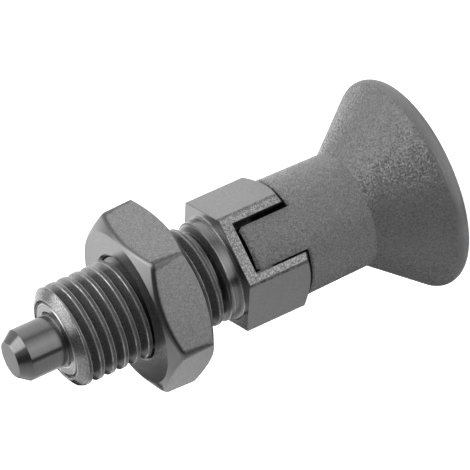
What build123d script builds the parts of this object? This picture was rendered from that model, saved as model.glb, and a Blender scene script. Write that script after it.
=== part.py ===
from build123d import *
import os
from math import cos, radians, tan

# Spring-loaded indexing plunger with a locknut and a trumpet-shaped pull grip.
#
# Millimetres, +Z towards the pin. The origin is on the axis, on the front face of the hex
# collar, which is the face that seats on the plate the plunger is screwed into. So the
# thread, the bush and the pin are above z = 0, and the collar and the grip are below it.
# The cross slot runs along Y, through the two collar flats that face +Y and -Y.
#
# Pulling the grip draws the pin back against the spring. Two tongues on the grip sit in
# the cross slot, so the pin can't turn. Pulled clear of the slot and given a quarter
# turn, they land on the collar's rear face and hold the pin back.

# ---- fits and gaps ------------------------------------------------------------------
running_gap = 0.04  # radial, pin in its bush and rod in its bore
chamber_gap = 0.10  # radial, stop shoulder in the spring chamber
thread_gap = 0.05  # radial, locknut on the thread, drawn as plain cylinders
tongue_end_gap = 0.50  # tongue tips to the floor of the cross slot
neck_gap = 0.25  # grip neck to the collar's rear face

# ---- threaded sleeve ------------------------------------------------------------------
thread_diameter = 11.75  # over the crests of the M12 x 1.5 thread
sleeve_reach = 20.40  # collar front face to sleeve front face
lead_chamfer = 0.72  # length of the thread's lead-in along the axis
front_rim_diameter = 9.60  # outside of the flat front rim
shank_length = 1.48  # plain shank between the collar and the undercut
shank_root_chamfer = 0.30  # where the shank runs into the collar
undercut_diameter = 9.80
undercut_width = 1.08  # from the plain shank to the thread
undercut_slope = 0.70  # length of its conical rear wall along the axis

collar_across_flats = 13.70
collar_length = 8.05
collar_face_diameter = 13.55  # flat circle left on the rear face by the chamfer
hex_chamfer_angle = 30.0  # degrees, on the collar's rear and on both locknut faces
slot_width = 6.10
slot_depth = 6.70  # from the collar's rear face

chamber_floor = 3.20  # above the collar's front face
bush_seat_chamfer = 0.30  # at the mouth of the bush seat

# ---- guide bush -------------------------------------------------------------------------
bush_diameter = 8.60
bush_length = 4.00
bush_edge_chamfer = 0.15
bush_countersink = 0.30  # round the pin, radial and deep

# ---- locking pin ------------------------------------------------------------------------
pin_diameter = 6.00
pin_reach = 5.70  # beyond the sleeve's front face
nose_length = 1.35
nose_tip_diameter = 4.10
nose_edge_chamfer = 0.12
stop_length = 1.60  # shoulder that rests on the back of the bush
rod_diameter = 4.00  # rear rod, through the spring to the grip
rod_grip_length = 11.0  # held in the grip, behind the neck's front face
rod_end_chamfer = 0.30

# ---- compression spring -------------------------------------------------------------------
spring_diameter = 6.20  # middle of the wire
wire_diameter = 0.60
wire_side_count = 6  # round wire, swept with flat sides to keep its mesh light
spring_coils = 5.0

# ---- pull grip ------------------------------------------------------------------------------
neck_front_diameter = 13.86
neck_rear_diameter = 13.52
neck_length = 8.44
neck_edge_chamfer = 0.20
flare_angle = 38.4  # degrees, between the flare and the axis
flare_length = 9.06
rim_radius = 1.45
tongue_width = 5.15
tongue_edge_chamfer = 0.35
tongue_turn = -2.0  # degrees about Z, the tongues resting against one side of the slot

# ---- locknut ----------------------------------------------------------------------------------
nut_across_flats = 18.80
nut_thickness = 5.80
nut_face_diameter = 17.90  # flat circle left on each face by the chamfer
nut_corner_radius = 0.60
nut_mouth_chamfer = 0.35  # countersink of the thread at both faces
nut_height = 5.72  # its rear face above the collar's front face
nut_turn = 41.2  # degrees from +X to one of its corners

# ---- what follows from them ---------------------------------------------------------------------
thread_radius = thread_diameter / 2
front_rim_radius = front_rim_diameter / 2
undercut_radius = undercut_diameter / 2
undercut_end = shank_length + undercut_width
collar_rear = -collar_length
slot_floor = collar_rear + slot_depth
bush_back = sleeve_reach - bush_length
chamber_radius = bush_diameter / 2 - chamber_gap
stop_radius = chamber_radius - chamber_gap
stop_back = bush_back - stop_length
pin_tip = sleeve_reach + pin_reach
rod_radius = rod_diameter / 2
neck_front = collar_rear - neck_gap
tongue_front = slot_floor - tongue_end_gap
neck_rear = neck_front - neck_length
grip_end = neck_rear - flare_length
rod_end = neck_front - rod_grip_length
nut_bore_radius = thread_radius + thread_gap
hex_corner_ratio = 1 / cos(radians(30))  # a hexagon's corner radius over its flat radius
cutter_margin = 1.0  # how far a cutter's profile runs past the stock


with BuildPart() as threaded_sleeve:
    # Turned outside: plain shank, undercut, thread and lead-in, with the collar's core.
    with BuildSketch(Plane.XZ):
        with BuildLine():
            Polyline(
                (0, 0),
                (thread_radius, 0),
                (thread_radius, shank_length),
                (undercut_radius, shank_length + undercut_slope),
                (undercut_radius, undercut_end),
                (thread_radius, undercut_end),
                (thread_radius, sleeve_reach - lead_chamfer),
                (front_rim_radius, sleeve_reach),
                (0, sleeve_reach),
                close=True,
            )
        make_face()
    revolve(axis=Axis.Z)

    # Hex collar, its corners turned off to a cone at the rear.
    with BuildSketch(Plane.XY):
        RegularPolygon(collar_across_flats / 2, 6, major_radius=False)
    extrude(amount=-collar_length)
    collar_corner = collar_across_flats * hex_corner_ratio / 2
    collar_chamfer_reach = collar_corner - collar_face_diameter / 2 + cutter_margin
    with BuildSketch(Plane.XZ):
        with BuildLine():
            Polyline(
                (collar_face_diameter / 2, collar_rear),
                (collar_face_diameter / 2 + collar_chamfer_reach, collar_rear),
                (
                    collar_face_diameter / 2 + collar_chamfer_reach,
                    collar_rear + collar_chamfer_reach * tan(radians(hex_chamfer_angle)),
                ),
                close=True,
            )
        make_face()
    revolve(axis=Axis.Z, mode=Mode.SUBTRACT)

    shank_root = threaded_sleeve.edges().filter_by(GeomType.CIRCLE).filter_by_position(Axis.Z, 0, 0)
    chamfer(shank_root, length=shank_root_chamfer)

    # Bush seat, spring chamber and rod bore, all drilled from the front.
    with Locations((0, 0, sleeve_reach)):
        Hole(radius=rod_radius + running_gap)
        Hole(radius=chamber_radius, depth=sleeve_reach - chamber_floor)
        Hole(radius=bush_diameter / 2, depth=bush_length)
    front_circles = threaded_sleeve.edges().filter_by(GeomType.CIRCLE).group_by(Axis.Z)[-1]
    chamfer(front_circles.sort_by(SortBy.RADIUS)[0], length=bush_seat_chamfer)

    # Cross slot for the grip's tongues, open to the rear and to both sides.
    with BuildSketch(Plane.XY.offset(slot_floor)):
        Rectangle(slot_width, 2 * collar_corner)
    extrude(amount=-slot_depth, mode=Mode.SUBTRACT)


with BuildPart() as guide_bush:
    with BuildSketch(Plane.XY.offset(bush_back)):
        Circle(bush_diameter / 2)
        Circle(pin_diameter / 2 + running_gap, mode=Mode.SUBTRACT)
    extrude(amount=bush_length)
    front_edges = guide_bush.edges().filter_by(GeomType.CIRCLE).group_by(Axis.Z)[-1].sort_by(SortBy.RADIUS)
    chamfer(front_edges[0], length=bush_countersink)
    chamfer(front_edges[-1], length=bush_edge_chamfer)


with BuildPart() as locking_pin:
    with BuildSketch(Plane.XZ):
        with BuildLine():
            Polyline(
                (0, rod_end),
                (rod_radius, rod_end),
                (rod_radius, stop_back),
                (stop_radius, stop_back),
                (stop_radius, bush_back),
                (pin_diameter / 2, bush_back),
                (pin_diameter / 2, pin_tip - nose_length),
                (nose_tip_diameter / 2, pin_tip),
                (0, pin_tip),
                close=True,
            )
        make_face()
    revolve(axis=Axis.Z)
    end_edges = locking_pin.edges().filter_by(GeomType.CIRCLE).group_by(Axis.Z)
    chamfer(end_edges[0], length=rod_end_chamfer)
    chamfer(end_edges[-1], length=nose_edge_chamfer)


with BuildPart() as compression_spring:
    # One wire on a helix, its two ends ground flat where they seat.
    spring_length = stop_back - chamber_floor
    with BuildLine():
        wire_path = Helix(
            pitch=spring_length / spring_coils,
            height=spring_length,
            radius=spring_diameter / 2,
            center=(0, 0, chamber_floor),
        )
    with BuildSketch(Plane(origin=wire_path @ 0, z_dir=wire_path % 0)):
        RegularPolygon(wire_diameter / 2, wire_side_count, major_radius=False)
    sweep(is_frenet=True)
    split(bisect_by=Plane.XY.offset(chamber_floor), keep=Keep.TOP)
    split(bisect_by=Plane.XY.offset(stop_back), keep=Keep.BOTTOM)


with BuildPart() as pull_grip:
    # Neck and flare, with a full round between the flare and the flat end.
    flare_edge_radius = neck_rear_diameter / 2 + flare_length * tan(radians(flare_angle))
    with BuildSketch(Plane.XZ) as grip_profile:
        with BuildLine():
            Polyline(
                (0, neck_front),
                (neck_front_diameter / 2, neck_front),
                (neck_rear_diameter / 2, neck_rear),
                (flare_edge_radius, grip_end),
                (0, grip_end),
                close=True,
            )
        make_face()
        fillet(grip_profile.vertices().sort_by(Axis.X)[-1], radius=rim_radius)
    revolve(axis=Axis.Z)
    neck_edge = pull_grip.edges().filter_by(GeomType.CIRCLE).sort_by(Axis.Z)[-1]
    chamfer(neck_edge, length=neck_edge_chamfer)

    # The two tongues, which are one bar as long as the neck is wide.
    with BuildSketch(Plane.XY.offset(neck_front - neck_edge_chamfer)):
        Circle(neck_front_diameter / 2)
        Rectangle(tongue_width, neck_front_diameter, rotation=tongue_turn, mode=Mode.INTERSECT)
    extrude(amount=tongue_front - neck_front + neck_edge_chamfer)
    tongue_tip = pull_grip.faces().sort_by(Axis.Z)[-1]
    chamfer(tongue_tip.edges(), length=tongue_edge_chamfer)

    # Bore that the rod is pressed into.
    with Locations((0, 0, tongue_front)):
        Hole(radius=rod_radius, depth=tongue_front - rod_end)


with BuildPart() as locknut:
    with BuildSketch(Plane.XY.offset(nut_height)) as nut_outline:
        RegularPolygon(nut_across_flats / 2, 6, major_radius=False, rotation=nut_turn)
        fillet(nut_outline.vertices(), radius=nut_corner_radius)
    extrude(amount=nut_thickness)

    # Both faces are turned to a cone, which leaves a round flat in the middle.
    nut_corner = nut_across_flats * hex_corner_ratio / 2
    nut_cone_rise = (nut_corner - nut_face_diameter / 2) * tan(radians(hex_chamfer_angle))
    with BuildSketch(Plane.XZ):
        with BuildLine():
            Polyline(
                (0, nut_height),
                (nut_face_diameter / 2, nut_height),
                (nut_corner, nut_height + nut_cone_rise),
                (nut_corner, nut_height + nut_thickness - nut_cone_rise),
                (nut_face_diameter / 2, nut_height + nut_thickness),
                (0, nut_height + nut_thickness),
                close=True,
            )
        make_face()
    revolve(axis=Axis.Z, mode=Mode.INTERSECT)

    with Locations((0, 0, nut_height + nut_thickness)):
        Hole(radius=nut_bore_radius, depth=nut_thickness)
    bore_mouths = locknut.edges().filter_by(GeomType.CIRCLE).sort_by(SortBy.RADIUS)[:2]
    chamfer(bore_mouths, length=nut_mouth_chamfer)


threaded_sleeve.part.label = "threaded_sleeve"
guide_bush.part.label = "guide_bush"
locking_pin.part.label = "locking_pin"
compression_spring.part.label = "compression_spring"
pull_grip.part.label = "pull_grip"
locknut.part.label = "locknut"

os.makedirs("parts", exist_ok=True)
export_step(threaded_sleeve.part, "parts/threaded_sleeve.step")
export_step(guide_bush.part, "parts/guide_bush.step")
export_step(locking_pin.part, "parts/locking_pin.step")
export_step(compression_spring.part, "parts/compression_spring.step")
export_step(pull_grip.part, "parts/pull_grip.step")
export_step(locknut.part, "parts/locknut.step")
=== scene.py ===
# %% [markdown]
# # An indexing plunger, dressed for a render
#
# The plunger stands upright on its pull grip, with the locking pin on top. The solids
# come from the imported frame, in metres. Everything below gives them their finish, or
# replaces a plain solid by a surface with the detail that the real piece has.

import bmesh
import bpy
import numpy as np
from mathutils import Matrix, Vector


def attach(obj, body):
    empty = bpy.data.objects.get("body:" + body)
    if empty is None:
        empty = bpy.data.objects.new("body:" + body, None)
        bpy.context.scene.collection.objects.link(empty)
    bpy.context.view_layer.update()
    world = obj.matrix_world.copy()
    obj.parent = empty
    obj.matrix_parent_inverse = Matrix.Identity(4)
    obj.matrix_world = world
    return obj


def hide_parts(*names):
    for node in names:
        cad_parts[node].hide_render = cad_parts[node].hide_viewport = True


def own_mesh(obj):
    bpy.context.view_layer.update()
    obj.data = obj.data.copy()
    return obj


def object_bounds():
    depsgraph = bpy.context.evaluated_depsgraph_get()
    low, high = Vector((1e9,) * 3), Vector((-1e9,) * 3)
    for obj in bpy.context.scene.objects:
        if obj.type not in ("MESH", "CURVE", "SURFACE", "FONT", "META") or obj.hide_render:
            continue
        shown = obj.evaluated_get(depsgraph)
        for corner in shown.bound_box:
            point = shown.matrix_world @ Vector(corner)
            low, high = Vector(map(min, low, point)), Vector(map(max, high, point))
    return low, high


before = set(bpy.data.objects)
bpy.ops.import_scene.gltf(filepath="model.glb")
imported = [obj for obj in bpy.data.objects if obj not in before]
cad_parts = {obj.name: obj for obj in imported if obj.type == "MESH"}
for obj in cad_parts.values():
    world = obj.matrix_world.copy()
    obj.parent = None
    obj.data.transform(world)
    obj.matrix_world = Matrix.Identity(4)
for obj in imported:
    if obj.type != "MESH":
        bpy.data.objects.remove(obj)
MM = 0.001
cad_box = [list(corner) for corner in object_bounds()]

# %% [markdown]
# ## The camera
# A long lens far away keeps the parallel edges of a small machine part nearly parallel.
# The camera is turned about its own line of sight, so that the plunger, which stands
# upright, lies across the frame with its pin towards the lower left. Rotation angles
# could say this too, but three axes worked out with cross products can't be mixed up.

# %% Camera
azimuth, elevation = np.radians(85.134), np.radians(20.7)  # of the camera, seen from the plunger
roll = np.radians(24.197)  # the pin's slope in the frame, below the horizontal
distance = 520 * MM
pixels_per_metre = 9090.0  # at the distance of the aim point
frame_pixels = 470
aim_right, aim_up = 2.060 * MM, 3.523 * MM  # of the aim point from the origin, in the frame
sensor_width = 36.0

towards = np.array([
    np.cos(azimuth) * np.cos(elevation),
    np.sin(azimuth) * np.cos(elevation),
    np.sin(elevation),
])
sideways = np.array([np.sin(azimuth), -np.cos(azimuth), 0.0])  # level, square to the line of sight
backwards = np.cross(towards, sideways)  # the way the grip points, as the camera sees it
right = np.cos(roll) * backwards + np.sin(roll) * sideways
down = -np.sin(roll) * backwards + np.cos(roll) * sideways
aim = aim_right * right - aim_up * down

camera_data = bpy.data.cameras.new("camera")
camera_data.sensor_width = sensor_width
camera_data.lens = sensor_width * pixels_per_metre * distance / frame_pixels
camera_data.clip_start, camera_data.clip_end = 0.01, 20.0
camera = bpy.data.objects.new("camera", camera_data)
bpy.context.scene.collection.objects.link(camera)
place = Matrix.Identity(4)
for column, axis in enumerate((right, -down, towards)):
    for row in range(3):
        place[row][column] = axis[row]
place.translation = Vector(aim + distance * towards)
camera.matrix_world = place
bpy.context.scene.camera = camera
print("lens %.1f mm, camera at" % camera_data.lens, [round(v, 4) for v in place.translation])

# %% [markdown]
# ## Helpers for node trees
# Every material below is a small tree of nodes. One helper adds a node and wires it, one
# does a sum, and one stretches a range of values onto another, so that the trees read
# from top to bottom like ordinary code.

# %% Node helpers
def add_node(tree, kind, inputs=None, **options):
    """A new node. inputs maps a socket's name or number to a value, or to the output of
    another node, and options are the node's own settings."""
    node = tree.nodes.new("ShaderNode" + kind)
    for option, value in options.items():
        setattr(node, option, value)
    for socket, value in (inputs or {}).items():
        if isinstance(value, bpy.types.NodeSocket):
            tree.links.new(value, node.inputs[socket])
        else:
            node.inputs[socket].default_value = value
    return node


def calculate(tree, operation, *values):
    """The result of one Math node on these values."""
    return add_node(tree, "Math", dict(enumerate(values)), operation=operation).outputs[0]


def vector(tree, operation, *values):
    """The result of one Vector Math node on these values, where it is a vector."""
    return add_node(tree, "VectorMath", dict(enumerate(values)), operation=operation).outputs["Vector"]


def measure(tree, operation, *values):
    """The result of one Vector Math node on these values, where it is a number."""
    return add_node(tree, "VectorMath", dict(enumerate(values)), operation=operation).outputs["Value"]


def stretch(tree, value, start, end, to_start, to_end, smooth=False):
    """The value's place between start and end, carried to the range to_start to to_end and
    held there outside it. Smooth eases in and out of both ends."""
    kind = "SMOOTHSTEP" if smooth else "LINEAR"
    sockets = {0: value, 1: start, 2: end, 3: to_start, 4: to_end}
    return add_node(tree, "MapRange", sockets, interpolation_type=kind).outputs[0]


def split(tree, point):
    """The x, y and z of a point, as three values."""
    return add_node(tree, "SeparateXYZ", {0: point}).outputs


def empty_material(name):
    """A material with an empty tree, and that tree."""
    material = bpy.data.materials.new(name)
    material.use_nodes = True
    material.node_tree.nodes.clear()
    return material, material.node_tree


# %% [markdown]
# ## What the bright metal mirrors
# Polished steel has almost no colour of its own: it shows its surroundings. In a studio,
# grey and black cards stand round such a part and draw dark lines along its round faces.
# A panorama of a real studio could be wrapped round the scene, but a ring of greys, with
# one brightness for each compass direction, can be tuned face by face. The world shows
# one ring above the horizon, darker overhead and with two soft windows. The floor shows
# another ring, to mirror rays alone. Both have a black card near azimuth 45, and the
# floor has a second, narrower one near 135.

# %% Surroundings
surroundings_gain = 1.25
floor_greys = [  # azimuth in degrees, brightness over the gain, as the upright sides mirror them
    (-180, 0.42), (-165, 0.46), (-145, 0.58), (-125, 0.66), (-115, 0.82), (-100, 0.96), (-90, 0.92),
    (-80, 0.50), (-70, 0.52), (-60, 0.47), (-48, 0.28), (-25, 0.27), (-5, 0.24), (15, 0.23), (27, 0.24),
    (33, 0.11), (40, 0.05), (47, 0.06), (55, 0.33), (65, 0.37), (75, 0.41), (90, 0.46), (105, 0.40),
    (115, 0.32), (125, 0.25), (135, 0.16), (145, 0.25), (155, 0.34), (175, 0.41), (180, 0.42),
]
sky_greys = [  # the same above the horizon, as the cones and the rounded edges mirror them
    (-180, 0.34), (-162, 0.30), (-148, 0.37), (-134, 0.40), (-127, 0.36), (-121, 0.80), (-115, 0.95),
    (-92, 0.92), (-80, 0.60), (-60, 0.48), (-42, 0.38), (-28, 0.32), (-12, 0.28), (5, 0.24), (25, 0.15),
    (35, 0.07), (45, 0.04), (70, 0.05), (85, 0.10), (96, 0.16), (118, 0.20), (140, 0.25), (160, 0.32),
    (180, 0.34),
]


def ring_of_cards(tree, direction, greys):
    """Brightness by azimuth: arctan2(y, x) of the direction, as a share of a turn, runs
    through a ramp of greys."""
    parts = split(tree, direction)
    turned = calculate(tree, "ARCTAN2", parts["Y"], parts["X"])
    share = calculate(tree, "MULTIPLY_ADD", turned, 0.5 / np.pi, 0.5)
    ramp = add_node(tree, "ValToRGB", {"Fac": share})
    stops = ramp.color_ramp.elements
    while len(stops) < len(greys):
        stops.new(1.0)
    for stop, (degrees, grey) in zip(stops, greys):
        stop.position = (degrees + 180) / 360
        stop.color = (grey, grey, grey, 1)
    return calculate(tree, "MULTIPLY", ramp.outputs["Color"], surroundings_gain)


print("greys: %d round the floor, %d round the sky" % (len(floor_greys), len(sky_greys)))

# %% World
overhead_grey = 0.10
overhead_start, overhead_full = 0.82, 0.91  # sine of the elevation
windows = [(152, 46, 0.95), (208, 63, 1.05)]  # azimuth and elevation in degrees, strength
window_rim, window_core = 0.87, 0.96  # cosine of the angle from a window's middle


def pointing(azimuth, elevation):
    """The unit vector at that azimuth and elevation, in degrees."""
    a, e = np.radians(azimuth), np.radians(elevation)
    return Vector((np.cos(a) * np.cos(e), np.sin(a) * np.cos(e), np.sin(e)))


world = bpy.data.worlds.new("studio")
bpy.context.scene.world = world
world.use_nodes = True
tree = world.node_tree
tree.nodes.clear()
direction = add_node(tree, "TexCoord").outputs["Generated"]
cards = ring_of_cards(tree, direction, sky_greys)
overhead = stretch(tree, split(tree, direction)["Z"], overhead_start, overhead_full, 0.0, 1.0, smooth=True)
difference = calculate(tree, "SUBTRACT", overhead_grey, cards)
brightness = calculate(tree, "MULTIPLY_ADD", overhead, difference, cards)
for window_azimuth, window_elevation, strength in windows:
    nearness = measure(tree, "DOT_PRODUCT", direction, pointing(window_azimuth, window_elevation))
    glow = stretch(tree, nearness, window_rim, window_core, 0.0, strength, smooth=True)
    brightness = calculate(tree, "ADD", brightness, glow)
sky = add_node(tree, "Background", {"Strength": brightness})
add_node(tree, "OutputWorld", {"Surface": sky.outputs[0]})
print("world: %d nodes, %d windows" % (len(tree.nodes), len(windows)))

# %% [markdown]
# ## The floor
# The part stands over white paper. The camera sees plain paper, with a little glow added
# so that it shows as white. Mirror rays see the floor's ring of greys instead, and what a
# lamp does to real paper is painted into it: the part's shadow behind it, and the bright
# pool of the front lamp before it. A lamp strong enough to draw that pool would wash out
# the plastic.

# %% What the floor shows in the metal
shadow_azimuth, shadow_depth = -75, 0.95  # degrees; the share of the light that it takes
shadow_start, shadow_full = 0.75, 0.92  # cosine of the angle from its azimuth
shadow_reach = (82 * MM, 124 * MM)  # whole up to the first distance, gone at the second
pool_azimuth, pool_strength = 85, 8.5  # degrees; the light that it adds, as a multiple
pool_start, pool_full = 0.80, 0.99  # cosine of the angle from its azimuth
pool_reach = (53 * MM, 113 * MM)
# The gains are painted light and shade in the floor's mirror image: a little brighter near the part, and
# darker closest to it.
near_gains = [  # a gain up to one distance, which has faded to 1 at another
    (83 * MM, 143 * MM, 1.22),
    (56 * MM, 80 * MM, 0.6),
]


def floor_light(tree, spot):
    """A factor for the floor's greys: (1 - shadow) x (1 + pool) x both gains. Shadow and
    pool are a fan round their azimuth times what is left of them at that distance. The
    cosine of the angle from an azimuth is spot . direction / |spot|, and the pool falls
    with the fourth power."""
    distance = measure(tree, "LENGTH", spot)

    def fan(azimuth, start, full, strength):
        """0 at the start's cosine and outside it, the whole strength round the azimuth."""
        along = measure(tree, "DOT_PRODUCT", spot, pointing(azimuth, 0))
        cosine = calculate(tree, "DIVIDE", along, distance)
        return stretch(tree, cosine, start, full, 0.0, strength, smooth=True)

    shade = stretch(tree, distance, *shadow_reach, shadow_depth, 0.0, smooth=True)
    shadow = calculate(tree, "MULTIPLY", fan(shadow_azimuth, shadow_start, shadow_full, 1.0), shade)
    light = calculate(tree, "SUBTRACT", 1.0, shadow)
    for near, far, gain in near_gains:
        light = calculate(tree, "MULTIPLY", light, stretch(tree, distance, near, far, gain, 1.0))
    closeness = calculate(tree, "POWER", stretch(tree, distance, *pool_reach, 1.0, 0.0), 4.0)
    pool = calculate(tree, "MULTIPLY", fan(pool_azimuth, pool_start, pool_full, pool_strength), closeness)
    return calculate(tree, "MULTIPLY_ADD", light, pool, light)


# %% Floor
floor_half = 3.0  # metres, half its side
pull_room = 6.82 * MM  # the grip can be pulled back 6.8 mm without reaching the floor
floor_height = cad_box[0][2] - pull_room
floor_glow = 0.75  # added for the camera alone
paper_white = 0.9

floor_paper, tree = empty_material("floor_paper")
path = add_node(tree, "LightPath").outputs
paper = add_node(tree, "BsdfDiffuse", {"Color": (paper_white, paper_white, paper_white, 1)})
camera_glow = calculate(tree, "MULTIPLY", path["Is Camera Ray"], floor_glow)
glow = add_node(tree, "Emission", {"Strength": camera_glow})
seen = add_node(tree, "AddShader", {0: paper.outputs[0], 1: glow.outputs[0]})
spot = add_node(tree, "TexCoord").outputs["Object"]
floor_cards = ring_of_cards(tree, spot, floor_greys)
mirrored_level = calculate(tree, "MULTIPLY", floor_cards, floor_light(tree, spot))
mirrored = add_node(tree, "Emission", {"Strength": mirrored_level})
sockets = {0: path["Is Glossy Ray"], 1: seen.outputs[0], 2: mirrored.outputs[0]}
mixed = add_node(tree, "MixShader", sockets)
add_node(tree, "OutputMaterial", {"Surface": mixed.outputs[0]})

corners = np.array([(-1, -1, 0), (1, -1, 0), (1, 1, 0), (-1, 1, 0)]) * floor_half + [0, 0, floor_height]
mesh = bpy.data.meshes.new("floor")
mesh.from_pydata(corners, [], [(0, 1, 2, 3)])
mesh.materials.append(floor_paper)
floor = bpy.data.objects.new("floor", mesh)
bpy.context.scene.collection.objects.link(floor)
print("floor at %.2f mm, the part's lowest point at %.2f mm" % (floor_height / MM, cad_box[0][2] / MM))

# %% [markdown]
# ## Lamps and flags
# Three round softboxes light what isn't a mirror: the plastic, the oily film and the
# paper. Mirror rays don't see them, because the rings of greys are what the metal shows.
# A flag is a dark card that stands close behind the part, painted shade in what the metal
# mirrors. Being close, it darkens only the faces whose mirrored line of sight meets it,
# which no ring of greys can do.

# %% Lamps
def softbox(name, direction, distance, size, watts):
    """A round area lamp that faces the plunger from that direction, unseen by mirror rays."""
    lamp = bpy.data.lights.new(name, "AREA")
    lamp.shape, lamp.size, lamp.energy = "DISK", size, watts
    holder = bpy.data.objects.new(name, lamp)
    bpy.context.scene.collection.objects.link(holder)
    direction = Vector(direction).normalized()
    holder.location = direction * distance
    holder.rotation_euler = direction.to_track_quat("Z", "Y").to_euler()
    holder.visible_glossy = False
    print("%s: %.1f W over %.2f m" % (name, watts, size))


softbox("key", (-1.0, 0.10, 0.35), 0.6, 0.40, 3.6)
softbox("front", (0.35, 0.95, 0.0), 0.6, 0.30, 2.3)
softbox("top", (-0.3, -0.2, 1.0), 0.8, 0.50, 1.0)
bpy.context.scene.view_settings.view_transform = "Standard"


# %% Dark flags behind the part
def flag(name, low, high, brightness):
    """An upright card across Y that only mirror rays see, from one corner to the other."""
    card, tree = empty_material(name)
    shine = add_node(tree, "Emission", {"Strength": brightness})
    add_node(tree, "OutputMaterial", {"Surface": shine.outputs[0]})
    (x0, y, z0), (x1, y, z1) = low, high
    mesh = bpy.data.meshes.new(name)
    mesh.from_pydata([(x0, y, z0), (x1, y, z0), (x1, y, z1), (x0, y, z1)], [], [(0, 1, 2, 3)])
    mesh.materials.append(card)
    holder = bpy.data.objects.new(name, mesh)
    bpy.context.scene.collection.objects.link(holder)
    holder.visible_camera = holder.visible_diffuse = holder.visible_shadow = False
    holder.visible_transmission = holder.visible_volume_scatter = False
    print("%s: %.0f mm wide, %.1f mm high" % (name, (x1 - x0) / MM, (z1 - z0) / MM))


# The first darkens what the front faces of the nut and the collar mirror on their +X
# side, and the second what the grip mirrors along its +X edge.
flag("dark_flag", (0.5 * MM, -50 * MM, 8 * MM), (19 * MM, -50 * MM, 38 * MM), 0.02)
flag("low_flag", (2 * MM, -20 * MM, -32 * MM), (26 * MM, -20 * MM, -5.5 * MM), 0.14)

# %% [markdown]
# ## Surfaces from whole arrays
# Almost everything here was turned on a lathe, so most surfaces are a profile carried
# round the axis. A Screw modifier could spin a profile too, but it can't let the profile
# change on the way, as threads and hexagons need. One array holds the whole grid: its
# rows run along the profile and its columns run round the axis. The mesh is that array,
# welded where its ends meet.

# %% A grid of points becomes a piece
WELD = 1e-7  # metres; points closer than this are one point


def piece_from_grid(name, points, body, node, material, sharp=32):
    """A closed mesh from points[row, column] = (x, y, z) in metres. Neighbouring rows and
    columns span a four-sided face. Points that coincide are welded, so a grid that ends
    where it began closes up, and faces folded to nothing disappear."""
    rows, columns = points.shape[:2]
    corner = np.arange(rows * columns).reshape(rows, columns)
    quads = np.stack([corner[:-1, :-1], corner[:-1, 1:], corner[1:, 1:], corner[1:, :-1]], axis=-1)
    mesh = bpy.data.meshes.new(name)
    mesh.from_pydata(points.reshape(-1, 3), [], quads.reshape(-1, 4))
    work = bmesh.new()
    work.from_mesh(mesh)
    bmesh.ops.remove_doubles(work, verts=work.verts, dist=WELD)
    bmesh.ops.dissolve_degenerate(work, edges=work.edges, dist=WELD)
    bmesh.ops.recalc_face_normals(work, faces=work.faces)
    for face in work.faces:
        face.smooth = True
    open_edges = sum(len(edge.link_faces) != 2 for edge in work.edges)
    work.to_mesh(mesh)
    work.free()
    mesh.set_sharp_from_angle(angle=np.radians(sharp))
    mesh.materials.append(material)
    piece = bpy.data.objects.new(name, mesh)
    bpy.context.scene.collection.objects.link(piece)
    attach(piece, body)
    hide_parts(node)
    triangles = sum(len(p.vertices) - 2 for p in mesh.polygons)
    print("%s: %d x %d points, %d triangles, %d open edges" % (name, rows, columns, triangles, open_edges))
    return piece


# %% Profiles
def round_corners(corners, radii, steps=4, lead=0.02 * MM):
    """Rows of (radius, height) along a profile whose corners are rounded.

    corners[k, column] is corner k of the profile at each column, and radii[k] the radius of
    its arc. The arc touches both sides at radius / tan(half the corner's angle) from the
    corner, and its centre is radius / sin(half the angle) away along the bisector. A point
    just before and after each arc keeps the shading of the flats clean."""
    rows = [corners[0]]
    for before, here, after, radius in zip(corners[:-2], corners[1:-1], corners[2:], radii[1:-1]):
        if radius == 0:
            rows.append(here)
            continue
        back = (before - here) / np.linalg.norm(before - here, axis=-1, keepdims=True)
        on = (after - here) / np.linalg.norm(after - here, axis=-1, keepdims=True)
        bisector = (back + on) / np.linalg.norm(back + on, axis=-1, keepdims=True)
        half = 0.5 * np.arccos(np.clip((back * on).sum(-1, keepdims=True), -1, 1))
        middle = here + bisector * radius / np.sin(half)
        reach = radius / np.tan(half)
        start, end = here + back * reach, here + on * reach
        rows.append(start + back * lead)
        for step in np.linspace(0, 1, steps + 1):
            chord = start + (end - start) * step - middle
            rows.append(middle + chord / np.linalg.norm(chord, axis=-1, keepdims=True) * radius)
        rows.append(end + on * lead)
    rows.append(corners[-1])
    return np.array(rows)


def profile_row(radius, height, azimuths):
    """One row of a profile, (radius, height) at every azimuth. Either can be one number for
    the whole row."""
    radius, height, _ = np.broadcast_arrays(radius, height, azimuths)
    return np.stack([radius, height], axis=-1)


def around(profile, azimuths):
    """Points of a profile carried round +Z: x = radius cos(azimuth), y = radius
    sin(azimuth), z = height. The profile is [row, column, (radius, height)]."""
    radius, height = np.broadcast_to(profile, (len(profile), len(azimuths), 2)).transpose(2, 0, 1)
    return np.stack([radius * np.cos(azimuths), radius * np.sin(azimuths), height], axis=-1)


def lathe_profile(corners, columns):
    """A rounded profile, the same at every column. Each corner is (radius, height) in
    millimetres, with the radius of its rounding after them where it has one."""
    places = np.array([corner[:2] for corner in corners])[:, None, :] * MM
    rounding = np.array([corner[2] if len(corner) > 2 else 0.0 for corner in corners]) * MM
    rows = round_corners(places, rounding)
    return np.broadcast_to(rows, (len(rows), columns, 2))


# %% [markdown]
# ## Steel, turned and milled
# A lathe tool leaves fine rings, so light spreads across them and not along them. Rings
# in the bump alone would flicker when they are finer than a pixel. The shader does what
# they do: its anisotropy takes a tangent that circles the axis, and a quarter turn points
# the spread across the rings. A noise that hardly changes along a circle and quickly
# across it then draws the rings themselves, faintly. Milled and rolled flats have no such
# order. They get a cloudy grain instead.

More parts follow.
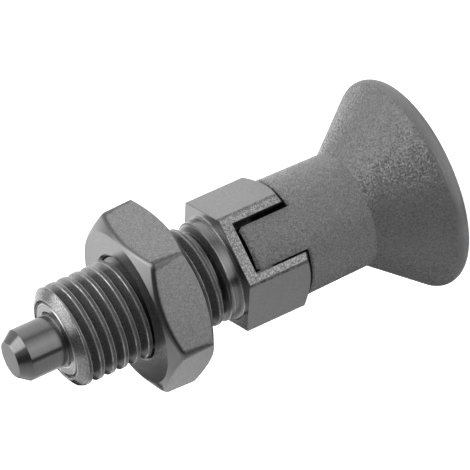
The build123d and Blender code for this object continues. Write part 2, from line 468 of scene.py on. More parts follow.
# %% Where a point lies
def axis_place(tree):
    """Of a point in Object coordinates: the point, its distance from the Z axis, its height,
    and the direction that circles the axis there, (0, 0, 1) x point."""
    point = add_node(tree, "TexCoord").outputs["Object"]
    parts = split(tree, point)
    level = add_node(tree, "CombineXYZ", {0: parts[0], 1: parts[1]}).outputs[0]
    radius = measure(tree, "LENGTH", level)
    circling = vector(tree, "CROSS_PRODUCT", (0, 0, 1), point)
    return point, radius, parts[2], circling


def azimuth_of(tree, point):
    """The point's azimuth, arctan2(y, x), in radians."""
    parts = split(tree, point)
    return calculate(tree, "ARCTAN2", parts[1], parts[0])


def rings(tree, fineness=11000.0, wander=160.0, climb=1.7):
    """Tool marks, 0 to 1: noise at (wander x, wander y, fineness (radius + climb height)). The
    sum keeps them fine on a flat face, on a cylinder and on every cone in between."""
    point, radius, height, circling = axis_place(tree)
    across = calculate(tree, "MULTIPLY", calculate(tree, "MULTIPLY_ADD", height, climb, radius), fineness)
    x, y = (calculate(tree, "MULTIPLY", part, wander) for part in split(tree, point)[:2])
    place = add_node(tree, "CombineXYZ", {0: x, 1: y, 2: across}).outputs[0]
    noise = add_node(tree, "TexNoise", {"Vector": place, "Scale": 1.0, "Detail": 2.0})
    return noise.outputs["Fac"]


NOISE = (0.3, 0.7)  # nearly all of a noise texture's values lie between these


def clouds(tree, cells_per_metre, low, high, span=NOISE, detail=3.0):
    """Soft blotches between a low and a high value, with that many cells along a metre. A
    narrower span of the noise gives blotches with crisper edges."""
    point = add_node(tree, "TexCoord").outputs["Object"]
    noise = add_node(tree, "TexNoise", {"Vector": point, "Scale": cells_per_metre, "Detail": detail})
    return stretch(tree, noise.outputs["Fac"], *span, low, high)


def band(tree, value, middle, inner, outer):
    """1 up to inner from the middle, fading to 0 at outer."""
    away = calculate(tree, "ABSOLUTE", calculate(tree, "SUBTRACT", value, middle))
    return stretch(tree, away, inner, outer, 1.0, 0.0)


# %% Steel
coarse_cells, fine_cells = 3300.0, 12000.0  # per metre, for grain of 0.3 mm and of 0.08 mm
ring_polish = 0.12  # how much the roughness changes from ring to ring
# The film is the thread's dark oily coat. In the collar's slot the same film is painted shade.
film_grey, film_index, film_cells = 0.065, 1.45, 8000.0
film_unevenness = 0.4  # share of its grey


def steel(
    name, grey, roughness, turned=0.0, ring_shade=0.14, ring_depth=0.0,
    blotches=(0.0, 0.0), bare=None, tone=None,
):
    """Grey steel. turned is the anisotropy of its tool rings, ring_shade how much the grey
    changes from ring to ring, and ring_depth their relief in metres. blotches are the
    strengths of the coarse and the fine cloudy grain. bare, a function of the tree, gives 1
    on bare metal and 0 where a black oily film covers it, and tone, another, a factor for
    the grey."""
    material, tree = empty_material(name)
    marks = rings(tree)
    ring_shade = ring_shade if turned else 0.0
    shade = stretch(tree, marks, *NOISE, 1.0 - ring_shade, 1.0 + ring_shade)
    for strength, cells in zip(blotches, (coarse_cells, fine_cells)):
        if strength:
            grain = clouds(tree, cells, 1.0 - strength, 1.0 + strength)
            shade = calculate(tree, "MULTIPLY", shade, grain)
    if tone:
        shade = calculate(tree, "MULTIPLY", shade, tone(tree))
    dull, polished = roughness * (1 + ring_polish), roughness * (1 - ring_polish)
    sockets = {
        "Base Color": calculate(tree, "MULTIPLY", shade, grey),
        "Metallic": 1.0,
        "Roughness": stretch(tree, marks, *NOISE, dull, polished),
    }
    if bare:
        share = bare(tree)
        thin, thick = film_grey * (1 - film_unevenness), film_grey * (1 + film_unevenness)
        film = clouds(tree, film_cells, thin, thick, span=(0.35, 0.65))
        sockets["Metallic"] = share
        sockets["Base Color"] = stretch(tree, share, 0.0, 1.0, film, sockets["Base Color"])
        sockets["IOR"] = film_index
    if ring_depth:
        bump = {"Height": marks, "Strength": 1.0, "Distance": ring_depth}
        sockets["Normal"] = add_node(tree, "Bump", bump).outputs[0]
    if turned:
        sockets["Anisotropic"] = turned
        sockets["Anisotropic Rotation"] = 0.25  # of a turn
        sockets["Tangent"] = axis_place(tree)[3]
    shader = add_node(tree, "BsdfPrincipled", sockets)
    add_node(tree, "OutputMaterial", {"Surface": shader.outputs[0]})
    print("%s: grey %.2f, roughness %.2f, %d nodes" % (name, grey, roughness, len(tree.nodes)))
    return material


turned_steel = steel("turned_steel", 0.40, 0.24, turned=0.75, ring_shade=0.05, ring_depth=0.000001)
pin_steel = steel("pin_steel", 0.42, 0.14, turned=0.80, ring_shade=0.05, ring_depth=0.0000004)
spring_steel = steel("spring_steel", 0.45, 0.30, blotches=(0.05, 0.0))
tip_steel = steel("tip_steel", 0.37, 0.50, blotches=(0.04, 0.04))


# %% Turned faces of a hexagon
def finish_end_faces(piece, material, lean=0.35, above=-1.0):
    """Gives the material to every face that lies above that height and whose normal leans
    along the axis by more than that share: the ends and the cones, but not the flats."""
    mesh = piece.data
    normals, centres = np.empty(len(mesh.polygons) * 3), np.empty(len(mesh.polygons) * 3)
    mesh.polygons.foreach_get("normal", normals)
    mesh.polygons.foreach_get("center", centres)
    chosen = (np.abs(normals[2::3]) > lean) & (centres[2::3] > above)
    mesh.materials.append(material)
    mesh.polygons.foreach_set("material_index", chosen.astype(np.int32))
    print("%s: %d end faces of %d" % (piece.name, chosen.sum(), len(chosen)))


# %% [markdown]
# ## The threaded sleeve
# The sleeve screws into a machine, and the pin slides in it. Its thread is a right-hand
# metric one. A Screw modifier could wind it, but a wound thread can't fade out under the
# cone of the lead-in. So the surface here is a radius that depends on how far a point is
# from the nearest crest, measured along the axis, and the crest climbs one pitch a turn.
# The grid is sheared with the helix, so its rows run along the crests and flanks and
# every edge stays crisp. At the front the same radius is held under the cone, and at the
# rear the rows gather on the wall of the undercut.

# %% Thread
pitch = 1.5 * MM
crest_radius = 5.875 * MM
root_radius = 4.93 * MM
crest_width = 0.46 * MM
flank_slope = 1 / np.tan(np.radians(30))  # radius lost for each length along the axis
crest_softness, root_softness, cone_softness = 0.030 * MM, 0.10 * MM, 0.02 * MM
crest_azimuth, crest_height = np.radians(85.13), 18.07 * MM  # a point on the middle of a crest
shank_end, thread_back, sleeve_front = 1.48 * MM, 2.56 * MM, 20.40 * MM
lead_length, front_rim = 0.72 * MM, 4.80 * MM
run_out, run_out_length = 19.82 * MM, 0.35 * MM  # where the groove has faded away, and over what length


def lower_of(a, b, softness):
    """The smaller of two values, the crossing rounded: half of
    (a + b - sqrt((a - b)^2 + softness^2))."""
    return 0.5 * (a + b - np.sqrt((a - b) ** 2 + softness**2))


def thread_radius(height, azimuth):
    """Radius of the thread: flat on the crest, falling at the flank angle to the root, ever
    shallower as it runs out in front, and nowhere above the cone of the lead-in."""
    along = height - crest_height - pitch * (azimuth - crest_azimuth) / (2 * np.pi)
    from_crest = np.abs((along + pitch / 2) % pitch - pitch / 2)
    flank = crest_radius - (from_crest - crest_width / 2) * flank_slope
    radius = lower_of(flank, crest_radius, crest_softness)
    radius = -lower_of(-radius, -root_radius, root_softness)
    depth = np.clip((run_out - height) / run_out_length, 0, 1)
    radius = crest_radius - (crest_radius - radius) * depth
    cone = front_rim + (sleeve_front - height) * (crest_radius - front_rim) / lead_length
    return lower_of(radius, cone, cone_softness)


# The rows of one pitch lie close together where the crest turns into the flank.
half_rows = [0.0, 0.10, 0.16, 0.185, 0.20, 0.215, 0.235, 0.27, 0.36, 0.46, 0.56, 0.64, 0.70, 0.73]
half_rows = np.array(half_rows) * MM
pitch_rows = np.concatenate([-half_rows[:0:-1], half_rows, [pitch / 2]])
first_turn = np.floor((thread_back - crest_height) / pitch) - 1
turns = np.arange(first_turn, 4)
turn_steps = np.linspace(0, 2 * np.pi, 161)
crests = crest_height - pitch * crest_azimuth / (2 * np.pi) + turns * pitch  # of each turn, at azimuth 0
thread_rows = (crests[:, None] + pitch_rows).ravel()
heights = np.clip(thread_rows[:, None] + pitch * turn_steps / (2 * np.pi), thread_back, sleeve_front)
thread = profile_row(thread_radius(heights, turn_steps), heights, turn_steps)
print("thread: %d rows, up to a radius of %.3f mm" % (len(thread), thread[..., 0].max() / MM))


# %% Edges of the thread
# A crest's edge is worn bare of the film, and also brightened as a painted highlight.
edge_width = (0.035 * MM, 0.085 * MM)  # half widths of a rubbed edge: fully bright, and gone
lead_edge_at, lead_edge_width = 0.07 * MM, (0.03 * MM, 0.08 * MM)
worn_patches = (0.35, 0.60)  # span of the noise


def short_of_cone(tree):
    """How far a point lies behind the cone of the lead-in, along the axis. The cone is where
    height + radius * length / rise keeps one value, and this is that value less the point's."""
    point, radius, height, circling = axis_place(tree)
    slant = lead_length / (crest_radius - front_rim)
    reached = calculate(tree, "MULTIPLY_ADD", radius, slant, height)
    return calculate(tree, "SUBTRACT", sleeve_front + front_rim * slant, reached)


def lead_cone(tree):
    """1 on the cone of the lead-in and in front of it, 0 behind."""
    return stretch(tree, short_of_cone(tree), 0.02 * MM, 0.05 * MM, 1.0, 0.0)


def lead_edge(tree):
    """1 on the line where the thread's first crest meets the cone, in patches. It is worn bare
    of the film, and brightened as a painted highlight.
    """
    line = band(tree, short_of_cone(tree), lead_edge_at, *lead_edge_width)
    return calculate(tree, "MULTIPLY", line, clouds(tree, 1100.0, 0.3, 1.0, span=worn_patches))


def crest_edges(tree):
    """1 on both edges of the crest, in patches. The distance from the nearest crest is pitch
    times the triangle wave of height / pitch - turns."""
    point, radius, height, circling = axis_place(tree)
    start = crest_height / pitch - crest_azimuth / (2 * np.pi)
    turns = calculate(tree, "MULTIPLY_ADD", azimuth_of(tree, point), 0.5 / np.pi, start)
    climb = calculate(tree, "SUBTRACT", calculate(tree, "DIVIDE", height, pitch), turns)
    from_crest = calculate(tree, "MULTIPLY", calculate(tree, "PINGPONG", climb, 0.5), pitch)
    edge = band(tree, from_crest, crest_width / 2, *edge_width)
    edge = calculate(tree, "MULTIPLY", edge, clouds(tree, 900.0, 0.35, 1.0, span=worn_patches))
    return calculate(tree, "MULTIPLY", edge, calculate(tree, "SUBTRACT", 1.0, lead_cone(tree)))


# %% Where the oily film is worn off, and where a painted sheen lightens it
# The two sides at ±x are not rubbed: their partly bare metal is a painted sheen.
sheen_sides = [(-4.2 * MM, -5.2 * MM), (4.9 * MM, 5.8 * MM)]  # along x, from film to partly bare
side_sheen_share = 0.6


def bare_metal_and_side_sheen(tree):
    """1 where the sleeve's metal is bare: on the crest's edges, on the lead-in and below the
    thread. Along the two sides at ±x it is partly bare as a painted sheen, not wear. 0 under the film."""
    point, radius, height, circling = axis_place(tree)
    across = split(tree, point)[0]
    below = stretch(tree, height, thread_back - 0.1 * MM, thread_back, 1.0, 0.0)
    sides = [stretch(tree, across, start, end, 0.0, side_sheen_share, smooth=True) for start, end in sheen_sides]
    share = crest_edges(tree)
    for part in (lead_cone(tree), lead_edge(tree), below, *sides):
        share = calculate(tree, "MAXIMUM", share, part)
    return share


# %% Where the sleeve's steel is bright, partly as painted highlights
# The brightening of the edges is a painted highlight.
mouth_edge, mouth_edge_width = 4.66 * MM, (0.03 * MM, 0.08 * MM)
edge_brightening, undercut_darkening = 0.7, 0.38


def edge_highlights_and_tone(tree):
    """A factor for the sleeve's grey: its sharp edges, on the crest and round the mouth of
    the bore, are brightened above bare steel as painted highlights, the lead-in is mottled,
    and the undercut behind the thread is darker."""
    point, radius, height, circling = axis_place(tree)
    rim = calculate(tree, "MULTIPLY", band(tree, radius, mouth_edge, *mouth_edge_width), lead_cone(tree))
    edges = calculate(tree, "MAXIMUM", crest_edges(tree), lead_edge(tree))
    bright_parts = calculate(tree, "MAXIMUM", rim, calculate(tree, "MULTIPLY", edges, edge_brightening))
    mottle = clouds(tree, 5500.0, 0.76, 1.24, span=(0.38, 0.62), detail=2.0)
    bright_parts = calculate(tree, "MULTIPLY_ADD", lead_cone(tree), mottle, bright_parts)
    plain = calculate(tree, "SUBTRACT", 1.0, lead_cone(tree))
    past_shank = stretch(tree, height, shank_end - 0.02 * MM, shank_end + 0.12 * MM, 0.0, 1.0)
    short_of_thread = stretch(tree, height, thread_back, thread_back + 0.04 * MM, 1.0, 0.0)
    dull = calculate(tree, "MULTIPLY", past_shank, short_of_thread)
    return calculate(tree, "MULTIPLY_ADD", dull, -undercut_darkening, calculate(tree, "ADD", bright_parts, plain))


sleeve_steel = steel(
    "sleeve_steel", 0.42, 0.24, turned=0.75, ring_depth=0.000002, bare=bare_metal_and_side_sheen, tone=edge_highlights_and_tone
)

# %% Sleeve in front of the collar
# In millimetres: the radii of the bore from the rear to the front, and the heights where
# they change, then those of the outside below the thread.
stem_hole, chamber, bush_seat, mouth = 2.04, 4.20, 4.30, 4.60
chamber_floor, seat_floor, mouth_cone = 3.20, 16.40, 20.10
shank, shank_fillet, undercut, undercut_start = crest_radius / MM, 0.4, 4.90, 2.18
front, back, rim = sleeve_front / MM, thread_back / MM, front_rim / MM
columns = len(turn_steps)

# A row a little way off the fillet keeps the shading of the faces beside it clean.
fillet = np.radians(np.linspace(0, 90, 9))[:, None]
fillet_radius = shank + shank_fillet * (1 - np.sin(fillet))
fillet_height = shank_fillet * (1 - np.cos(fillet))
shank_root = profile_row(fillet_radius * MM, fillet_height * MM, turn_steps)
bottom_face = lathe_profile([(stem_hole, 0), (shank + shank_fillet - 0.025, 0)], columns)
outside = lathe_profile([
    (shank, shank_fillet + 0.02), (shank, shank_end / MM, 0.06),
    (undercut, undercut_start, 0.06), (undercut, back),
], columns)
bore = lathe_profile([
    (rim - 0.01, front), (mouth, front, 0.06), (bush_seat, mouth_cone, 0.03), (bush_seat, seat_floor),
    (chamber, seat_floor), (chamber, chamber_floor), (stem_hole, chamber_floor), (stem_hole, 0),
], columns)
sleeve_grid = around(np.concatenate([bottom_face, shank_root, outside, thread, bore]), turn_steps)
threaded_body = piece_from_grid(
    "threaded_body", sleeve_grid, "sleeve", "threaded_sleeve", sleeve_steel
)

# %% [markdown]
# ## The hex collar
# The collar takes the spanner. It is a hexagon whose rear corners are turned off to a
# cone, and a slot is milled across it for the grip's tongues. Booleans could cut all
# this, but they leave long thin faces that shade badly. Here one polar grid holds it: the
# radius of each row is where a ray at that azimuth meets the hexagon, the chamfer's
# circle or the slot's wall. Where the slot is cut the rows fold onto its floor and vanish
# when the grid is welded. A narrow bevel then breaks the edges, as a deburring brush does.

# %% Hexagons
def hexagon_radius(azimuth, flat_radius, turn, corner_radius=0.0):
    """Distance from the axis to a hexagon's outline: flat radius / cos(angle from the middle
    of the flat), and near a corner the far side of its rounding circle, which is
    d cos(g) + sqrt(r^2 - d^2 sin(g)^2) for a circle of radius r at distance d."""
    from_corner = (azimuth - turn + np.pi / 6) % (np.pi / 3) - np.pi / 6
    from_flat = np.pi / 6 - np.abs(from_corner)
    sides = flat_radius / np.cos(from_flat)
    centre = (flat_radius - corner_radius) / np.cos(np.pi / 6)
    inside = np.maximum(corner_radius**2 - (centre * np.sin(from_corner)) ** 2, 0)
    rounded = centre * np.cos(from_corner) + np.sqrt(inside)
    touching = np.arctan((flat_radius - corner_radius) * np.tan(np.pi / 6) / flat_radius)
    return np.where(from_flat > touching, rounded, sides)


# %% Collar
collar_flat, collar_rear, slot_floor, slot_half = 6.85 * MM, -8.05 * MM, -1.35 * MM, 3.05 * MM
collar_cone_start, cone_rise = 6.775 * MM, np.tan(np.radians(30))
collar_seat = (shank + shank_fillet) * MM  # where the shank's fillet ends on the collar's face
slot_edge = np.arctan2(collar_flat, slot_half)  # azimuth where the slot's wall meets the flat
cone_edge = np.arccos(slot_half / collar_cone_start)

edges = [-slot_edge, -cone_edge, cone_edge, slot_edge]
prong = np.unique(np.concatenate([np.radians(np.arange(-60, 61, 4.0)), edges]))
gap = np.linspace(slot_edge, np.pi - slot_edge, 14)
azimuths = np.concatenate([prong, gap, prong + np.pi, gap + np.pi, prong[:1] + 2 * np.pi])
on, off = np.full(len(prong), True), np.full(len(gap), False)  # on one of the two prongs, or over the slot
in_prong = np.concatenate([on, off, on, off, on[:1]])

outline = hexagon_radius(azimuths, collar_flat, 0.0)
wall = np.where(in_prong, slot_half / np.maximum(np.abs(np.cos(azimuths)), 1e-6), outline)
wall = np.minimum(wall, outline)
ring = np.clip(collar_cone_start, wall, outline)


def rear_row(radius):
    """A row on the rear face, which beyond its circle falls away as a cone. Over the slot it
    is folded onto the slot's floor, at the outline."""
    height = collar_rear + np.maximum(radius - collar_cone_start, 0) * cone_rise
    radius, height = np.where(in_prong, radius, outline), np.where(in_prong, height, slot_floor)
    return profile_row(radius, height, azimuths)


collar_rows = [
    profile_row(stem_hole * MM, slot_floor, azimuths),
    profile_row(stem_hole * MM, 0.0, azimuths),
    profile_row(collar_seat, 0.0, azimuths),
    profile_row(outline, 0.0, azimuths),
    profile_row(outline, slot_floor, azimuths),
    rear_row(outline),
    rear_row(ring),
    rear_row(wall),
    profile_row(wall, slot_floor, azimuths),
    profile_row(stem_hole * MM, slot_floor, azimuths),
]


# %% Collar finish
ground_start, ground_full = collar_flat - 0.06 * MM, collar_flat - 0.03 * MM
corner_start, corner_full = collar_flat - 0.50 * MM, collar_flat - 0.38 * MM


def milled_collar(tree):
    """A factor for the collar's grey. The two slotted flats are coarsely ground and so
    speckled, and the corners beside them are worn dark in patches."""
    point = axis_place(tree)[0]
    outward = calculate(tree, "ABSOLUTE", split(tree, point)[1])
    ground = stretch(tree, outward, ground_start, ground_full, 0.0, 1.0)
    speckle = clouds(tree, 7500.0, -0.42, 0.42, span=(0.38, 0.62), detail=1.0)
    patchy = clouds(tree, 4500.0, -0.75, -0.10, span=(0.42, 0.68), detail=2.0)
    corner = stretch(tree, outward, corner_start, corner_full, 0.0, 1.0)
    corner = calculate(tree, "MULTIPLY", corner, calculate(tree, "SUBTRACT", 1.0, ground))
    tone = calculate(tree, "MULTIPLY_ADD", ground, speckle, 1.0)
    return calculate(tree, "MULTIPLY_ADD", corner, patchy, tone)


def outside_slot(tree):
    """0 on the walls and the floor of the slot, which lie nearer the axis than the slot's
    half width and behind its end, and 1 elsewhere. The black film there is painted shade,
    so that the slot looks nearly black."""
    parts = split(tree, axis_place(tree)[0])
    aside = calculate(tree, "ABSOLUTE", parts[0])
    beside = stretch(tree, aside, slot_half + 0.02 * MM, slot_half + 0.05 * MM, 0.0, 1.0)
    in_front = stretch(tree, parts[2], slot_floor - 0.01 * MM, slot_floor + 0.01 * MM, 0.0, 1.0)
    return calculate(tree, "MAXIMUM", beside, in_front)


collar_steel = steel("collar_steel", 0.48, 0.34, blotches=(0.08, 0.10), bare=outside_slot, tone=milled_collar)
collar_grid = around(np.array(collar_rows), azimuths)
hex_collar = piece_from_grid(
    "hex_collar", collar_grid, "sleeve", "threaded_sleeve", collar_steel
)
finish_end_faces(hex_collar, turned_steel)
soft_edges = hex_collar.modifiers.new("soft_edges", "BEVEL")
soft_edges.width, soft_edges.segments, soft_edges.use_clamp_overlap = 0.07 * MM, 3, False
soft_edges.limit_method, soft_edges.angle_limit = "ANGLE", np.radians(25)

# %% [markdown]
# ## The locknut
# The nut locks the sleeve in the machine. Such nuts are cut from hexagon bar. Both faces
# are turned to a cone, and the front edges are worn round, as tumbling in a drum leaves
# them. Each flat ends there in a soft curve, and each corner in a wedge that is wide in
# front and closes towards the rear. A bevel has one width along an edge and can't do
# that. Two outlines with their own corner radius, one in front and one at the rear, give
# the wedge. The nut hangs off centre by the play of its thread.

# %% Locknut
nut_flat, nut_rear, nut_front, nut_turn = 9.40 * MM, 5.72 * MM, 11.52 * MM, np.radians(41.2)
nut_cone_start, nut_bore, nut_mouth = 8.95 * MM, 6.01 * MM, 0.25 * MM
nut_middle = 8.6 * MM  # the height in the bore where the profile starts and ends
front_corner, rear_corner = 1.0 * MM, 0.15 * MM  # radii of the outline's corners
nut_play = np.array([-0.05, 0.0, 0.0]) * MM

beside_corner = np.array([0.0, 0.3, 0.6, 1.0, 1.5, 2.0, 2.5, 3.0, 3.6, 4.4])  # degrees
across_flat = np.concatenate([beside_corner, np.arange(6.0, 55.0, 2.0), 60 - beside_corner[:0:-1]])
nut_azimuths = nut_turn + np.radians((across_flat + 60 * np.arange(6)[:, None]).ravel())
nut_azimuths = np.append(nut_azimuths, nut_azimuths[0] + 2 * np.pi)


def nut_edge(corner_radius, face_height, direction):
    """Where the cone on a face meets the hexagon. It is (outline - start of the cone) times
    the cone's slope away from the face, so it dips most at the corners."""
    outline = hexagon_radius(nut_azimuths, nut_flat, nut_turn, corner_radius)
    dip = (outline - nut_cone_start) * cone_rise
    return profile_row(outline, face_height + direction * dip, nut_azimuths)


def nut_circle(radius, height):
    """A round row of the nut's profile."""
    return profile_row(radius, height, nut_azimuths)


nut_corners = np.array([
    nut_circle(nut_bore, nut_middle),
    nut_circle(nut_bore, nut_front - nut_mouth),
    nut_circle(nut_bore + nut_mouth, nut_front),
    nut_circle(nut_cone_start, nut_front),
    nut_edge(front_corner, nut_front, -1),
    nut_edge(rear_corner, nut_rear, +1),
    nut_circle(nut_cone_start, nut_rear),
    nut_circle(nut_bore + nut_mouth, nut_rear),
    nut_circle(nut_bore, nut_rear + nut_mouth),
    nut_circle(nut_bore, nut_middle),
])
nut_rounding = np.array([0, 0.03, 0.04, 0.05, 0.80, 0.15, 0.05, 0.04, 0.03, 0]) * MM
nut_grid = around(round_corners(nut_corners, nut_rounding, steps=6), nut_azimuths) + nut_play

# %% Nut finish
wedge_grey_factor = 0.58
wedge_reach_rear, wedge_reach_front, wedge_raggedness = 0.6, 4.3, 0.5  # degrees to each side of a corner


def corner_wedge_tone(tree):
    """A factor for the nut's grey: darker on the wedge at each corner, and 1 elsewhere. The
    angle from the nearest corner is a triangle wave of the azimuth, and the wedge reaches
    further in front than at the rear."""
    point, radius, height, circling = axis_place(tree)
    from_turn = calculate(tree, "SUBTRACT", azimuth_of(tree, point), nut_turn)
    sixths = calculate(tree, "DIVIDE", from_turn, np.pi / 3)
    from_corner = calculate(tree, "MULTIPLY", calculate(tree, "PINGPONG", sixths, 0.5), 60.0)
    reach = stretch(tree, height, nut_rear, nut_front, wedge_reach_rear, wedge_reach_front)
    ragged = clouds(tree, 1500.0, -wedge_raggedness, wedge_raggedness)
    past = calculate(tree, "SUBTRACT", from_corner, calculate(tree, "ADD", reach, ragged))
    return stretch(tree, past, -0.5, 0.3, wedge_grey_factor, 1.0)


nut_steel = steel("nut_steel", 0.55, 0.34, blotches=(0.12, 0.45), tone=corner_wedge_tone)
locknut = piece_from_grid("locknut_surface", nut_grid, "nut", "locknut", nut_steel)
finish_end_faces(locknut, turned_steel)

# %% [markdown]
# ## The pin and its bush
# The pin is what drops into the hole of the machine's slide, and the bush guides it.
# Both are plain turned parts, ground where they slide, so a profile carried round the
# axis is all they need. Their edges are broken by a few hundredths of a millimetre, which
# a sharp solid can't show: a real edge always catches a thin line of light. The pin's tip
# is a little crowned.

# %% Pin
# In millimetres, from the pin's stem in the grip to its tip.
stem, stem_chamfer, stem_rear = 2.00, 0.30, -19.30
shoulder, shoulder_rear = 4.10, 14.80
pin_radius, cone_start = 3.00, 24.75
tip_radius, tip_edge, tip_front = 2.06, 26.05, 26.10
crown_radius, crown_drop = 1.20, 0.01
pin_corners = [
    (0, stem_rear), (stem - stem_chamfer, stem_rear), (stem, stem_rear + stem_chamfer),
    (stem, shoulder_rear), (shoulder, shoulder_rear), (shoulder, seat_floor), (pin_radius, seat_floor),
    (pin_radius, cone_start, 0.10), (tip_radius, tip_edge, 0.22),
    (crown_radius, tip_front - crown_drop), (0, tip_front),
]
pin_grid = around(lathe_profile(pin_corners, columns), turn_steps)
pin = piece_from_grid("ground_pin", pin_grid, "plunger", "locking_pin", pin_steel)
finish_end_faces(pin, tip_steel, lean=0.9, above=26.0 * MM)

# %% Bush
bush_hole, bush_chamfer = pin_radius + 0.04, 0.30  # it is chamfered inside and half as much outside
bush_corners = [
    (bush_hole, seat_floor), (bush_hole, front - bush_chamfer, 0.03), (bush_hole + bush_chamfer, front, 0.08),
    (bush_seat - bush_chamfer / 2, front, 0.08), (bush_seat, front - bush_chamfer / 2),
    (bush_seat, seat_floor), (bush_hole, seat_floor),
]
bright_edges, edge_shine = (3.34 * MM, 4.17 * MM), 0.9  # the edges of its face


def bush_edge_highlights(tree):
    """A factor for the bush's grey, 1 and on the two edges of its face nearly twice as much:
    painted highlights.
    """
    radius = axis_place(tree)[1]
    tone = 1.0
    for edge_radius in bright_edges:
        edge = band(tree, radius, edge_radius, 0.03 * MM, 0.08 * MM)
        tone = calculate(tree, "MULTIPLY_ADD", edge, edge_shine, tone)
    return tone


bush_steel = steel("bush_steel", 0.45, 0.24, turned=0.70, ring_depth=0.000002, tone=bush_edge_highlights)
bush_grid = around(lathe_profile(bush_corners, columns), turn_steps)
bush = piece_from_grid("turned_bush", bush_grid, "sleeve", "guide_bush", bush_steel)

# %% [markdown]
# ## The spring
# The spring pushes the pin's shoulder forward. A curve with a round bevel could draw it,
# but its ends would stick out of their seats. Here the wire's centre climbs on a helix,
# x = R cos(turn), y = R sin(turn), z = climb, and a circle is carried along it. The two
# ends are ground flat where they seat, so no point is lower or higher than the seats.

# %% Spring
def coiled_wire(coil_radius, wire_radius, low, high, coils, sides=16, steps_per_coil=48):
    """A round wire on a helix between two seats, with a cap at each end. Each ring of the
    grid is (R + w cos a, z + w sin a) turned to its place on the helix, w the wire's
    radius, and the height is held between the seats."""
    turn = np.linspace(0, 2 * np.pi * coils, int(coils * steps_per_coil) + 1)[:, None]
    centre = np.linspace(low, high, len(turn))[:, None]
    angle = np.linspace(0, 2 * np.pi, sides + 1)
    radius = coil_radius + wire_radius * np.cos(angle)
    height = np.clip(centre + wire_radius * np.sin(angle), low, high)
    wire = np.stack([radius * np.cos(turn), radius * np.sin(turn), height], axis=-1)
    first_cap, last_cap = wire[:1].copy(), wire[-1:].copy()
    for cap in (first_cap, last_cap):
        cap[:] = cap[:, :-1].mean(axis=1, keepdims=True)
    return np.concatenate([first_cap, wire, last_cap])


coil_radius, wire_radius, coils = 3.1 * MM, 0.3 * MM, 5.0
spring_grid = coiled_wire(coil_radius, wire_radius, chamber_floor * MM, shoulder_rear * MM, coils)
spring = piece_from_grid(
    "spring_wire", spring_grid, "spring", "compression_spring", spring_steel
)
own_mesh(spring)

# %% [markdown]
# ## The pull grip
# The grip is moulded in one piece. Its plastic has an even, fine grain, such as a
# spark-eroded mould gives. The neck is painted a little lighter, a painted highlight, and
# the rim is lighter still and smoother. The solid's own form is right, so it stays and only
# gets this finish. A bump map would blur such fine grain, because it compares points that
# lie a pixel apart. Real grain is small facets that each catch the light or don't, so here
# each cell of a pattern tips the surface's normal its own way, over a dark grey base. The
# recess between the tongues is painted nearly black, a painted shade, as the slot looks
# with the grip at rest. The paint stays when the grip is pulled, and looks too dark then.

# %% Zones of the grip
rim_height, neck_rear = -23.90 * MM, -16.74 * MM  # where the rim's round and the neck begin
rim_round = 1.0 * MM
recess_radius = (6.40 * MM, 6.65 * MM)  # wholly inside the slot, and out of it
recess_rear = (-8.50 * MM, -8.35 * MM)


def grip_zones(tree):
    """Four masks, 0 to 1: the rim, the back of its round, the neck, and the recess between
    the tongues, which lies deep in the slot."""
    point, radius, height, circling = axis_place(tree)
    rim = stretch(tree, height, rim_height, rim_height + 0.1 * MM, 1.0, 0.0)
    rounded = stretch(tree, height, rim_height, rim_height - rim_round, 0.0, 1.0, smooth=True)
    neck = stretch(tree, height, neck_rear, neck_rear + 0.1 * MM, 0.0, 1.0)
    inside = stretch(tree, radius, *recess_radius, 1.0, 0.0)
    recess = calculate(tree, "MULTIPLY", inside, stretch(tree, height, *recess_rear, 0.0, 1.0))
    return rim, rounded, neck, recess


# %% Grip plastic
rim_smoothness = 0.75  # share of the grain that is polished off
# The neck's lightness is a painted highlight, and the recess's darkness painted shade.
rim_lightness, neck_lightness, recess_darkness = 0.45, 0.2, 0.88
recess_gloss = 0.05


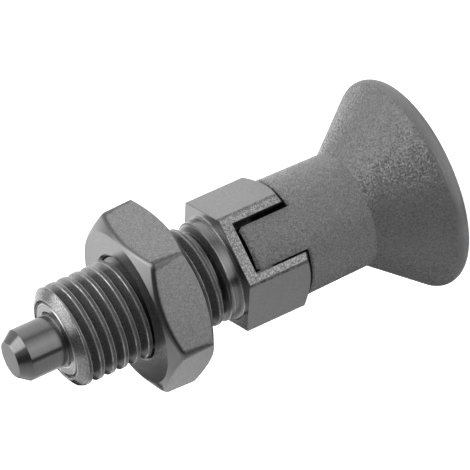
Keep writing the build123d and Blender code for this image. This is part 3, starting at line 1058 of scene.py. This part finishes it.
def moulded_plastic(name, grey, roughness, cell, tilt, contrast):
    """Grey plastic with a grain of small facets. Each cell of a Voronoi pattern has its own
    random colour, and (colour - 0.5) times tilt is added to the surface's normal there. A
    second pattern of smaller cells varies the grey by the contrast. The polished rim has a
    quarter of the grain, and the recess has none."""
    material, tree = empty_material(name)
    rim, rounded, neck, recess = grip_zones(tree)
    polished = calculate(tree, "MULTIPLY", rim, rim_smoothness)
    grain = calculate(tree, "SUBTRACT", 1.0, calculate(tree, "MAXIMUM", polished, recess))

    point = add_node(tree, "TexCoord").outputs["Object"]
    facet = add_node(tree, "TexVoronoi", {"Vector": point, "Scale": 1 / cell}).outputs["Color"]
    lean = vector(tree, "SUBTRACT", facet, (0.5, 0.5, 0.5))
    strength = calculate(tree, "MULTIPLY", grain, tilt)
    lean = add_node(tree, "VectorMath", {0: lean, "Scale": strength}, operation="SCALE").outputs[0]
    normal = vector(tree, "ADD", add_node(tree, "NewGeometry").outputs["Normal"], lean)
    normal = vector(tree, "NORMALIZE", normal)

    speck = add_node(tree, "TexVoronoi", {"Vector": point, "Scale": 1.3 / cell}).outputs["Color"]
    specks = stretch(tree, speck, 0.0, 1.0, -contrast, contrast)
    shade = calculate(tree, "MULTIPLY_ADD", specks, grain, 1.0)
    shade = calculate(tree, "MULTIPLY", shade, clouds(tree, 150.0, 0.96, 1.04, detail=2.0))
    lightness = calculate(tree, "MULTIPLY_ADD", rounded, rim_lightness, 1.0)
    lightness = calculate(tree, "MULTIPLY_ADD", neck, neck_lightness, lightness)
    shade = calculate(tree, "MULTIPLY", shade, lightness)
    darkness = calculate(tree, "MULTIPLY_ADD", recess, -recess_darkness, 1.0)
    shade = calculate(tree, "MULTIPLY", shade, darkness)
    sockets = {
        "Base Color": calculate(tree, "MULTIPLY", shade, grey),
        "Roughness": roughness,
        "IOR": 1.6,
        "Specular IOR Level": stretch(tree, recess, 0.0, 1.0, 1.0, recess_gloss),
        "Normal": normal,
    }
    shader = add_node(tree, "BsdfPrincipled", sockets)
    add_node(tree, "OutputMaterial", {"Surface": shader.outputs[0]})
    print("%s: facets of %.3f mm, %d nodes" % (name, cell / MM, len(tree.nodes)))
    return material


grip_plastic = moulded_plastic("grip_plastic", 0.12, 0.10, 0.125 * MM, 0.60, 0.50)
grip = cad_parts["pull_grip"]
grip.data.materials.clear()
grip.data.materials.append(grip_plastic)
